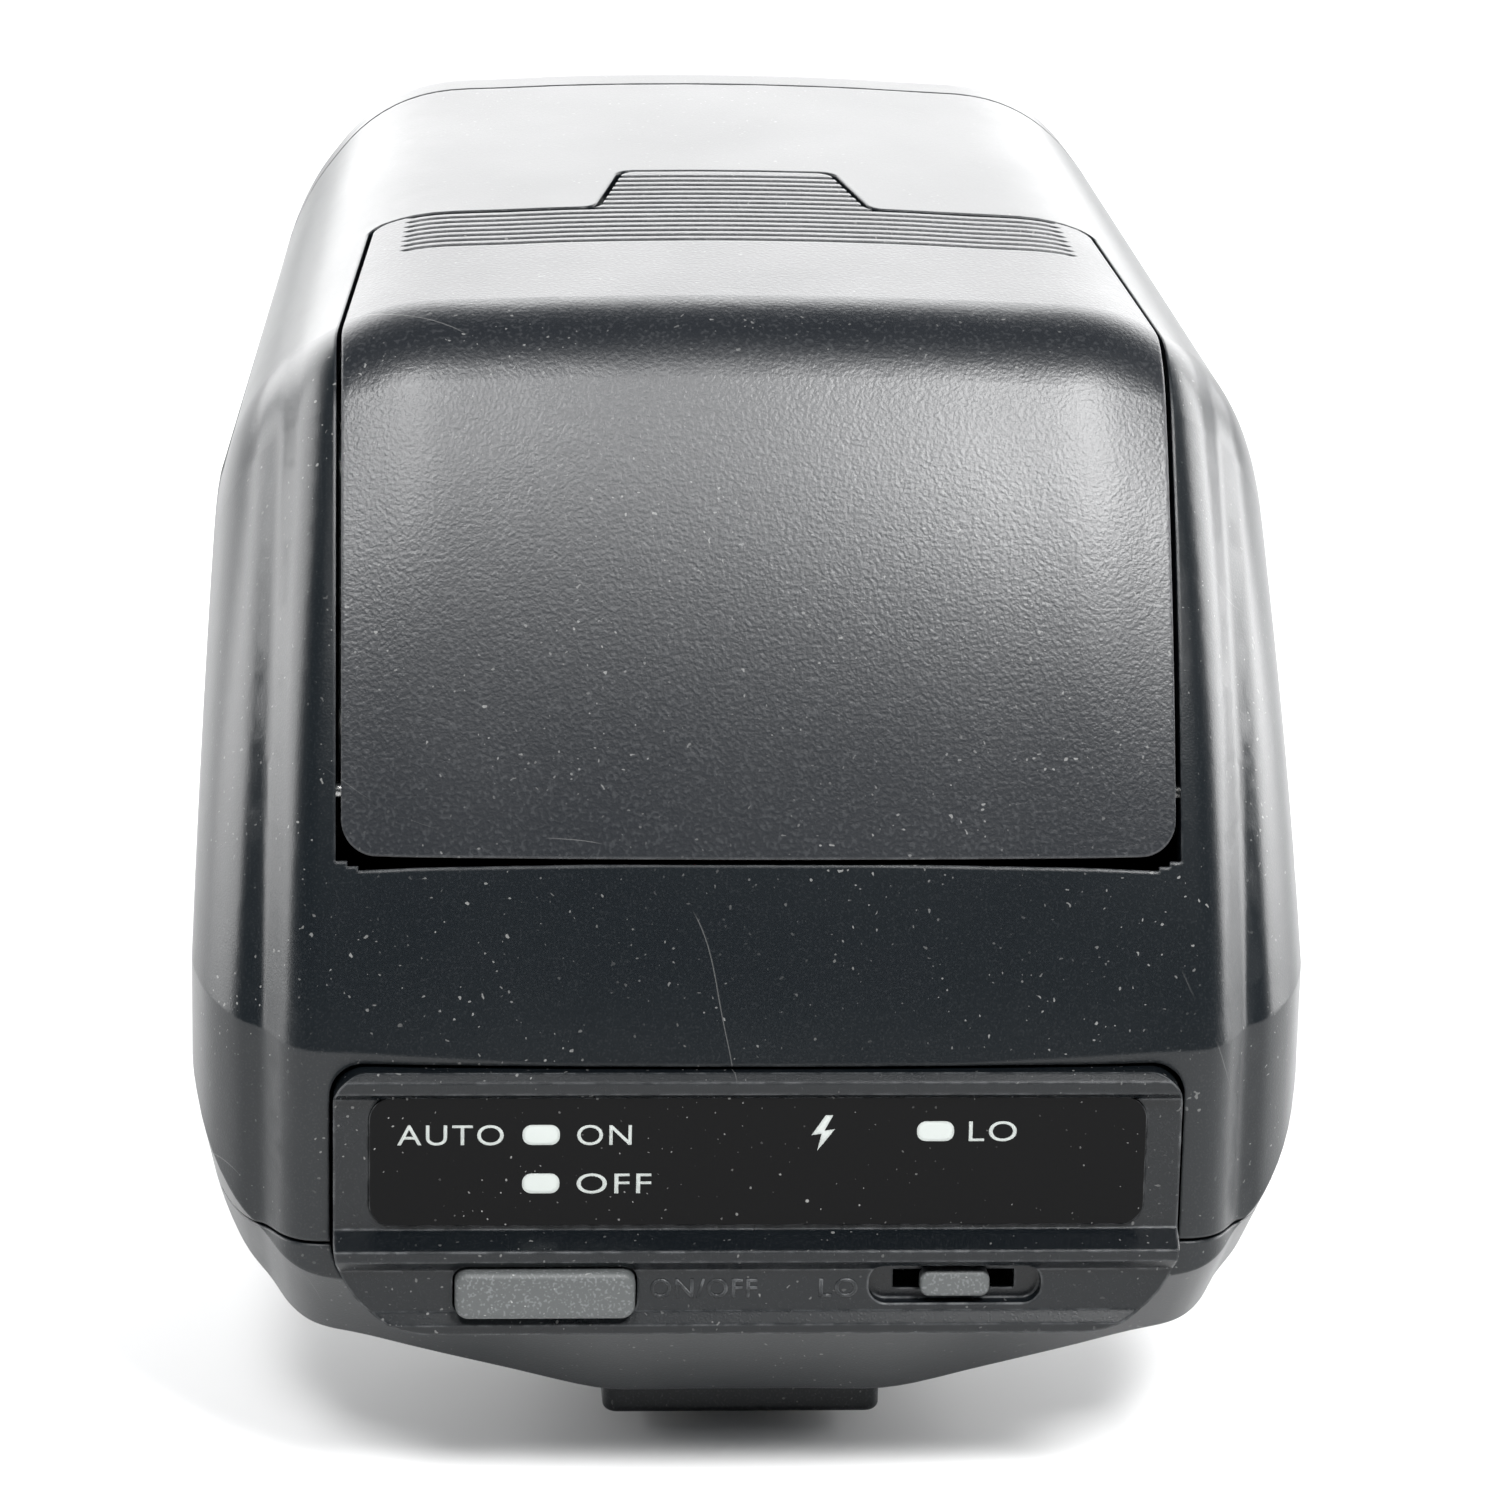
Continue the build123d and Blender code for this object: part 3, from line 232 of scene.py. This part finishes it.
b.feed(dirt.inputs["Scuffs"], given["Scuffs"])
filler = b.span(b.noise(coords, given["Grain Scale"], 0.0), 0.56, 0.74)
filler = b.math("MULTIPLY", filler, given["Speckle"])
paler = b.math("ADD", filler, wear.outputs["Mask"], True)
# The pale colour mixed in on edges paints worn plastic and a highlight along rounded edges.
shade = b.mix(paler, given["Colour"], given["Worn And Highlight Colour"])
b.feed(result["Colour"], b.mix(dirt.outputs["Mask"], shade, given["Dust Colour"]))
handled = b.span(b.noise(coords, 80.0, 3.0), 0.3, 0.7, -0.012, 0.018)
rough = b.math("ADD", given["Roughness"], handled)
dull = b.math("MULTIPLY", dirt.outputs["Mask"], 0.4)
b.feed(result["Roughness"], b.math("ADD", rough, dull, True))
grain = b.add("ShaderNodeBump")
b.feed(grain.inputs["Height"], b.noise(coords, given["Grain Scale"], 3.0))
b.feed(grain.inputs["Distance"], 0.00003)
b.feed(grain.inputs["Strength"], given["Grain Depth"])
b.feed(grain.inputs["Normal"], wear.outputs["Normal"])
b.feed(result["Normal"], grain.outputs["Normal"])
print("moulded surface inputs:", [s.name for s in moulded_group.interface.items_tree][:11])


# %% [markdown]
# ## The finishes
# Every finish below is the same shader with the group's outputs in it. What is equal all
# over a surface, such as being a metal or having a gloss coat, is set on the shader's own
# socket, because an exported model keeps it only there.

# %% A helper for one finish
def finish(name, colour, roughness, metal=0.0, coat=0.0, shine=0.5, **values):
    """One material on the moulded-surface group. values set the group's named inputs."""
    material = bpy.data.materials.new(name)
    material.use_nodes = True
    bench = Bench(material.node_tree)
    shader = material.node_tree.nodes["Principled BSDF"]
    group = bench.add("ShaderNodeGroup", node_tree=moulded_group)
    bench.feed(group.inputs["Colour"], colour)
    bench.feed(group.inputs["Roughness"], roughness)
    for key, value in values.items():
        bench.feed(group.inputs[key.replace("_", " ").title()], value)
    bench.feed(shader.inputs["Base Color"], group.outputs["Colour"])
    bench.feed(shader.inputs["Roughness"], group.outputs["Roughness"])
    bench.feed(shader.inputs["Normal"], group.outputs["Normal"])
    shader.inputs["Metallic"].default_value = metal
    shader.inputs["Coat Weight"].default_value = coat
    shader.inputs["Specular IOR Level"].default_value = shine
    return material


def clear(name, colour, roughness, ior=1.49):
    """A clear plastic or glass, with a plain transmission."""
    material = bpy.data.materials.new(name)
    material.use_nodes = True
    shader = material.node_tree.nodes["Principled BSDF"]
    shader.inputs["Base Color"].default_value = (*colour, 1)
    shader.inputs["Transmission Weight"].default_value = 1.0
    shader.inputs["IOR"].default_value = ior
    bench = Bench(material.node_tree)
    coords = bench.add("ShaderNodeTexCoord").outputs["Object"]
    handled = bench.span(bench.noise(coords, 260.0, 3.0), 0.4, 0.7, roughness, roughness + 0.06)
    bench.feed(shader.inputs["Roughness"], handled)
    return material


# %% Plastics of the casing
casing_plastic = finish("casing plastic", (0.0032, 0.0052, 0.0070), 0.29, shine=0.42,
                        grain_scale=7000.0, grain_depth=0.3, speckle=0.02, dust=0.25,
                        edge_wear=0.10, scuffs=0.12)
door_plastic = finish("door plastic", (0.0062, 0.0078, 0.0105), 0.34, shine=0.62,
                      grain_scale=3900.0, grain_depth=0.9, speckle=0.05, dust=0.22,
                      edge_wear=0.12, scuffs=0.15)
# The panel's high edge value paints a highlight along the bezel's rounded edges, on top of real
# wear.
panel_plastic = finish("panel plastic", (0.0030, 0.0044, 0.0058), 0.26, shine=0.36,
                       grain_scale=8000.0, grain_depth=0.2, speckle=0.02, dust=0.2,
                       edge_wear=0.35, scuffs=0.1)
button_plastic = finish("button plastic", (0.075, 0.080, 0.080), 0.48, grain_depth=0.5,
                        speckle=0.25, dust=0.4, edge_wear=0.3, scuffs=0.3)
foot_plastic = finish("foot plastic", (0.0040, 0.0055, 0.0070), 0.42, shine=0.35,
                      grain_depth=0.4, speckle=0.04, dust=0.15, edge_wear=0.2)
tray_plastic = finish("tray plastic", (0.016, 0.016, 0.017), 0.55, dust=0.15, edge_wear=0.1)
window_plastic = finish("window plastic", (0.0008, 0.0008, 0.0010), 0.06, shine=0.12,
                        speckle=0.0, grain_depth=0.0, edge_radius=0.00012, edge_wear=0.3,
                        dust=0.35, scuffs=0.05)

# %% Metals, boards and inner plastics
steel = finish("plated steel", (0.56, 0.56, 0.55), 0.27, 1.0, speckle=0.0, dust=0.0, scuffs=0.1)
brass = finish("gold plating", (0.83, 0.60, 0.26), 0.24, 1.0, speckle=0.0, dust=0.0)
copper = finish("enamelled copper", (0.60, 0.23, 0.09), 0.28, 1.0, coat=0.5, speckle=0.0, dust=0.0)
bright = finish("bright aluminium", (0.88, 0.88, 0.88), 0.10, 1.0, speckle=0.0, dust=0.0,
                grain_depth=0.05, edge_wear=0.0, scuffs=0.0)
nylon = finish("natural nylon", (0.66, 0.65, 0.60), 0.42, speckle=0.05, dust=0.1)
epoxy = finish("moulded epoxy", (0.013, 0.013, 0.014), 0.5, speckle=0.08, dust=0.05)
ceramic = finish("tube end caps", (0.50, 0.49, 0.47), 0.35, 1.0, speckle=0.0, dust=0.0)
prism = clear("prism plastic", (0.95, 0.96, 0.94), 0.03)
glass = clear("tube glass", (0.96, 0.97, 0.98), 0.0, 1.46)
red = clear("red window", (0.45, 0.012, 0.018), 0.04)
amber = clear("lamp epoxy", (0.85, 0.55, 0.35), 0.10, 1.54)
print("finishes:", len(bpy.data.materials))


# %% [markdown]
# ## Finishes with a drawn pattern
# A cell, a capacitor and a circuit board are each one solid, yet they show several
# colours: a bare metal end, a band of colour, a printed stripe. Separate pieces could be
# cut for them. A mask worked out from the place of the surface costs no geometry and stays
# sharp at any distance, so that way is taken.

# %% A helper that paints bands onto a finish
def painted(name, base, paint, roughness, mask, metal=0.0, **values):
    """A finish whose colour turns from base to paint where mask(bench, coords) is 1."""
    material = finish(name, base, roughness, metal, **values)
    bench = Bench(material.node_tree)
    group = next(n for n in bench.tree.nodes if n.bl_idname == "ShaderNodeGroup")
    place = bench.add("ShaderNodeSeparateXYZ")
    coords = bench.add("ShaderNodeTexCoord").outputs["Object"]
    bench.feed(place.inputs[0], coords)
    bench.feed(group.inputs["Colour"], bench.mix(mask(bench, place.outputs, coords), base, paint))
    return material


def cell_band(b, place, coords):
    """1 along the middle of a cell's wrap, 0 near either end."""
    return b.span(b.math("ABSOLUTE", place["X"]), 0.0150, 0.0147)


def polarity_stripe(b, place, coords):
    """1 in a narrow stripe along the capacitor's upper rear side."""
    tilt = b.math("SUBTRACT", place["Z"], middle("main_capacitor").z + 0.0062)
    return b.span(b.math("ABSOLUTE", tilt), 0.0013, 0.0012)


def tracks(b, place, coords):
    """1 on copper tracks that run in steps under the solder mask."""
    bricks = b.add("ShaderNodeTexBrick", offset=0.37, squash=0.6)
    b.feed(bricks.inputs["Vector"], coords)
    b.feed(bricks.inputs["Scale"], 190.0)
    b.feed(bricks.inputs["Mortar Size"], 0.09)
    return bricks.outputs["Fac"]


def tape_edge(b, place, coords):
    """1 on the tape round the transformer's middle."""
    away = b.math("SUBTRACT", place["X"], middle("charging_transformer").x)
    return b.span(b.math("ABSOLUTE", away), 0.0042, 0.0041)


# %% The painted finishes
cell_wrap = painted("cell wrap", (0.012, 0.014, 0.018), (0.045, 0.16, 0.10), 0.26, cell_band,
                    speckle=0.0, dust=0.1, grain_depth=0.05)
sleeve = painted("capacitor sleeve", (0.010, 0.012, 0.020), (0.42, 0.44, 0.46), 0.30,
                 polarity_stripe, speckle=0.0, dust=0.05, grain_depth=0.05)
board_mask = painted("solder mask", (0.010, 0.085, 0.038), (0.022, 0.16, 0.072), 0.26, tracks,
                     speckle=0.0, dust=0.05, grain_depth=0.05)
taped = painted("transformer tape", (0.03, 0.028, 0.027), (0.62, 0.40, 0.06), 0.38, tape_edge,
                speckle=0.0, dust=0.05)

# %% Give every solid its finish
FINISH_OF = [
    (casing_plastic, ["rear_housing", "front_housing", "base_cover", "lock_release_button"]),
    (door_plastic, ["battery_door"]),
    (panel_plastic, ["control_bezel"]),
    (button_plastic, ["on_off_button", "level_slide_knob"]),
    (foot_plastic, ["shoe_foot"]),
    (window_plastic, ["indicator_window"]),
    (prism, ["flash_lens"]),
    (glass, ["flash_tube"]),
    (red, ["lamp_window"]),
    (amber, ["indicator_lamps", "focus_lamp"]),
    (bright, ["reflector"]),
    (brass, ["contact_pins"]),
    (cell_wrap, ["aa_cells"]),
    (sleeve, ["main_capacitor"]),
    (board_mask, ["control_board", "main_board"]),
    (taped, ["charging_transformer"]),
    (nylon, ["drive_gear", "motor_pinion", "board_link"]),
    (copper, ["trigger_coil"]),
    (epoxy, ["power_transistor", "power_switch", "level_switch", "board_components"]),
    (ceramic, ["tube_electrodes"]),
    (tray_plastic, ["battery_tray", "reflector_carriage"]),
]
plain = set(nodes)
for material, names in FINISH_OF:
    for name in names:
        plain.discard(name)
        nodes[name].data.materials.clear()
        nodes[name].data.materials.append(material)
for name in plain:
    nodes[name].data.materials.clear()
    nodes[name].data.materials.append(steel)
print("left as plated steel:", sorted(plain))


# %% [markdown]
# ## The print on the window
# The legends on such a panel are screen printed in pale grey, a few hundredths of a
# millimetre thick. Text is laid out as real letters, made a mesh, and stood on the window's
# face. A texture would need an image; letters as a mesh stay crisp.

# %% Inks
INK_THICK = 0.015 * MM
PRINT_HEIGHT = 1.37 * MM
print_grey = finish("print ink", (0.47, 0.50, 0.48), 0.5, speckle=0.0, grain_depth=0.1,
                    edge_wear=0.0, dust=0.0, scuffs=0.0)


def letters(name, text, left, width, cap_height, thick, material, weight=0.0):
    """Letters that face -Y, fitted to a width and a height from the left end of their line."""
    pick_nothing()
    bpy.ops.object.text_add(location=(0, 0, 0))
    line = bpy.context.object.data
    line.body = text
    line.size = cap_height
    line.extrude = thick
    line.offset = weight
    line.space_character = 1.12
    line.resolution_u = 6
    bpy.ops.object.convert(target="MESH")
    piece = bpy.context.object
    corners = [Vector(c) for c in piece.bound_box]
    start = min(c.x for c in corners)
    wide = max(c.x for c in corners) - start
    tall = max(c.y for c in corners) - min(c.y for c in corners)
    piece.scale = (width / wide, cap_height / tall, 1)
    piece.rotation_euler = (math.pi / 2, 0, 0)
    piece.location = Vector(left) - Vector((start * width / wide, 0, 0))
    return settle(name, "casing", material)


window_y = low("indicator_window").y - INK_THICK
window_words = [
    ("auto", "AUTO", -23.2, 23.42, 6.8), ("on", "ON", -11.7, 23.42, 3.5),
    ("off", "OFF", -11.7, 20.12, 4.8), ("low", "LO", 13.5, 23.62, 3.1),
]
for name, text, x, z, width in window_words:
    piece = letters(name + "_print", text, (x * MM, window_y, z * MM), width * MM,
                    PRINT_HEIGHT, INK_THICK, print_grey)
    print(text, "is", round(piece.dimensions.x * 1000, 2), "mm wide")


# %% Lamp marks: rounded bars in front of the lamps
def lamp_mark(name, x, z, width, tall):
    """A printed bar with round ends, on the window."""
    pick_nothing()
    bpy.ops.mesh.primitive_cube_add(size=1, location=(x, window_y, z))
    bpy.context.object.scale = (width, 2 * INK_THICK, tall)
    bpy.ops.object.transform_apply(location=False, rotation=False, scale=True)
    mesh = bpy.context.object.data
    bpy.ops.object.mode_set(mode="EDIT")
    bpy.ops.mesh.select_mode(type="EDGE")
    bpy.ops.mesh.select_all(action="DESELECT")
    bpy.ops.object.mode_set(mode="OBJECT")
    for line in mesh.edges:
        ends = [mesh.vertices[i].co for i in line.vertices]
        line.select = abs(ends[0].x - ends[1].x) < 1e-7 and abs(ends[0].z - ends[1].z) < 1e-7
    bpy.ops.object.mode_set(mode="EDIT")
    bpy.ops.mesh.bevel(offset=0.44 * tall, segments=6, affect="EDGES")
    bpy.ops.object.mode_set(mode="OBJECT")
    return settle(name, "casing", print_grey)


MARK_WIDTH, MARK_TALL = 2.4 * MM, 1.35 * MM
MARK_SPOTS = [(-14.0, 24.1), (-14.0, 20.8), (11.35, 24.3)]
for number, (x, z) in enumerate(MARK_SPOTS, 1):
    lamp_mark(f"lamp_mark_{number}", x * MM, z * MM, MARK_WIDTH, MARK_TALL)


# %% The ready mark, a bolt
def flat_outline(name, points, thick, body, material):
    """A flat closed outline in X and Z on the window's face, made a mesh."""
    pick_nothing()
    bpy.ops.curve.primitive_bezier_curve_add(location=(0, 0, 0))
    outline = bpy.context.object.data
    outline.splines.clear()
    spline = outline.splines.new("POLY")
    spline.points.add(len(points) - 1)
    for point, (x, z) in zip(spline.points, points):
        point.co = (x, z, 0, 1)
    spline.use_cyclic_u = True
    outline.dimensions = "2D"
    outline.fill_mode = "BOTH"
    outline.extrude = thick
    bpy.ops.object.convert(target="MESH")
    bpy.context.object.rotation_euler = (math.pi / 2, 0, 0)
    bpy.context.object.location = (0, window_y, 0)
    return settle(name, body, material)


BOLT = [(0.15, 1.2), (-0.75, -0.15), (-0.1, -0.05), (-0.35, -1.2), (0.75, 0.25), (0.08, 0.15),
        (0.62, 1.2)]
bolt_x, bolt_z = 4.1, 24.2
flat_outline("ready_mark", [((bolt_x + x) * MM, (bolt_z + z) * MM) for x, z in BOLT],
             INK_THICK, "casing", print_grey)

# %% Raised words beside the switches
# These are moulded with the panel, so they have its plastic and stand a tenth proud.
panel_words = [("power", "ON/OFF", -6.9, 6.9), ("level", "LO", 4.0, 2.5)]
RAISED_Y, RAISED_Z, RAISED_HEIGHT = -21.86 * MM, 13.35 * MM, 1.3 * MM
RELIEF, STROKE_GROWTH = 0.11 * MM, 0.02 * MM
for name, text, x, width in panel_words:
    letters(name + "_relief", text, (x * MM, RAISED_Y, RAISED_Z), width * MM, RAISED_HEIGHT,
            RELIEF, panel_plastic, STROKE_GROWTH)


# %% [markdown]
# ## The thread and the trigger wire
# Inside, two small shapes make the difference between a model and a machine: the thread on the
# lead screw, and the trigger wire wound on the tube. Rows of rings would be easier and
# would pass at a glance, but a thread climbs, and a wire has two ends.
# A thread is one small profile spun round an axis. The Screw modifier does this exactly.

# %% A helper for threads and windings
TURN_TO = {"X": (0, math.pi / 2, 0), "Y": (-math.pi / 2, 0, 0)}


def winding(name, axis, start, end, radius, wire, pitch, body, material, steps=20):
    """Round wire wound on an axis ('X' or 'Y') from start to end."""
    turns = (end - start).length / pitch
    pick_nothing()
    bpy.ops.mesh.primitive_circle_add(vertices=8, radius=wire, location=(radius, 0, 0),
                                      rotation=(math.pi / 2, 0, 0))
    piece = bpy.context.object
    bpy.ops.object.transform_apply(location=True, rotation=True, scale=True)
    coil = piece.modifiers.new("winding", "SCREW")
    coil.angle = 2 * math.pi * turns
    coil.screw_offset = (end - start).length
    coil.steps = coil.render_steps = int(steps * turns)
    coil.use_normal_calculate = True
    bpy.ops.object.modifier_apply(modifier="winding")
    bpy.ops.object.mode_set(mode="EDIT")
    bpy.ops.mesh.select_all(action="DESELECT")
    bpy.ops.mesh.select_mode(type="EDGE")
    bpy.ops.mesh.select_non_manifold()
    bpy.ops.mesh.fill_holes(sides=8)
    bpy.ops.mesh.select_all(action="SELECT")
    bpy.ops.mesh.normals_make_consistent(inside=False)
    bpy.ops.object.mode_set(mode="OBJECT")
    bpy.ops.object.shade_smooth()
    piece.rotation_euler = TURN_TO[axis]
    piece.location = start
    return settle(name, body, material)


# %% The lead screw's thread
THREAD_RADIUS, THREAD_WIRE, THREAD_PITCH = 1.48 * MM, 0.17 * MM, 1.5 * MM
screw_mid = middle("lead_screw")
thread_start = Vector((screw_mid.x, low("lead_screw").y + 5.2 * MM, screw_mid.z))
thread_end = Vector((screw_mid.x, high("lead_screw").y - 3.0 * MM, screw_mid.z))
thread = winding("lead_screw_thread", "Y", thread_start, thread_end, THREAD_RADIUS,
                 THREAD_WIRE, THREAD_PITCH, "screw", steel)
print("thread faces:", len(thread.data.polygons))

# %% The trigger wire on the tube
TUBE_RADIUS, FINE_WIRE, WIRE_PITCH, BARE_END = 2.2 * MM, 0.08 * MM, 3.4 * MM, 3.6 * MM
tube_mid = middle("flash_tube")
wire_start = Vector((low("flash_tube").x + BARE_END, tube_mid.y, tube_mid.z))
wire_end = Vector((high("flash_tube").x - BARE_END, tube_mid.y, tube_mid.z))
winding("trigger_wire", "X", wire_start, wire_end, TUBE_RADIUS + FINE_WIRE, FINE_WIRE,
        WIRE_PITCH, "carriage", steel, 24)


# %% [markdown]
# ## The stage, the light and the camera
# A product like this is lit with large soft sources. A dark glossy thing shows mostly what
# it reflects, so the soft boxes are the picture: one above and behind for the pale top, and
# one on each side for the bright ridges down the corners.

# %% Floor
floor_z = solid_box[0].z
paper = finish("pale paper", (0.80, 0.80, 0.80), 0.85, speckle=0.0, edge_wear=0.0, dust=0.0,
               scuffs=0.0, grain_depth=0.05)
pick_nothing()
bpy.ops.mesh.primitive_plane_add(size=6, location=(0, 0, floor_z))
floor = bpy.context.object
floor.name = "floor"
floor.data.materials.append(paper)


# %% Lights
def soft_box(name, place, width, tall, power, aim=(0, 0.01, 0.045)):
    """A rectangular area light turned towards the object."""
    pick_nothing()
    bpy.ops.object.light_add(type="AREA", location=place)
    lamp = bpy.context.object
    lamp.name = name
    lamp.data.shape = "RECTANGLE"
    lamp.data.size, lamp.data.size_y = width, tall
    lamp.data.energy = power
    lamp.rotation_euler = (Vector(place) - Vector(aim)).to_track_quat("Z", "Y").to_euler()
    return lamp


soft_box("back box", (0.0, 0.95, 0.42), 1.8, 0.7, 17.0)
soft_box("door box left", (-0.17, -0.36, 0.58), 0.18, 0.18, 3.0)
soft_box("door box right", (0.21, -0.38, 0.55), 0.20, 0.20, 5.0)
soft_box("left box", (-0.62, 0.22, 0.16), 0.5, 0.5, 5.0)
soft_box("right box", (0.62, 0.22, 0.16), 0.5, 0.5, 7.5)
room = bpy.data.worlds.new("room")
bpy.context.scene.world = room
room.use_nodes = True
room.node_tree.nodes["Background"].inputs["Color"].default_value = (0.84, 0.92, 1.0, 1)
room.node_tree.nodes["Background"].inputs["Strength"].default_value = 0.12
bpy.context.scene.view_settings.view_transform = "Standard"

# %% Camera
# The lens stands close above the back, so the casing narrows away from the viewer. The
# small roll tilts the frame, and the shift moves the frame without turning the lens.
AZIMUTH, ELEVATION, ROLL = math.radians(4.0), math.radians(17.15), math.radians(1.22)
DISTANCE = 0.3832
AIM = Vector((0, -0.018, 0.040))
ahead = Vector((math.sin(AZIMUTH) * math.cos(ELEVATION),
                math.cos(AZIMUTH) * math.cos(ELEVATION), -math.sin(ELEVATION)))
level = ahead.cross(Vector((0, 0, 1))).normalized()
upright = level.cross(ahead)
across = level * math.cos(ROLL) + upright * math.sin(ROLL)
above = upright * math.cos(ROLL) - level * math.sin(ROLL)
pick_nothing()
bpy.ops.object.camera_add()
camera = bpy.context.object
camera.matrix_world = (Matrix.Translation(AIM - ahead * DISTANCE)
                       @ Matrix((across, above, -ahead)).transposed().to_4x4())
camera.data.lens, camera.data.sensor_width = 144.0, 36.0
camera.data.shift_x, camera.data.shift_y = -0.0077, 0.0896
camera.data.clip_start, camera.data.clip_end = 0.01, 20
bpy.context.scene.camera = camera
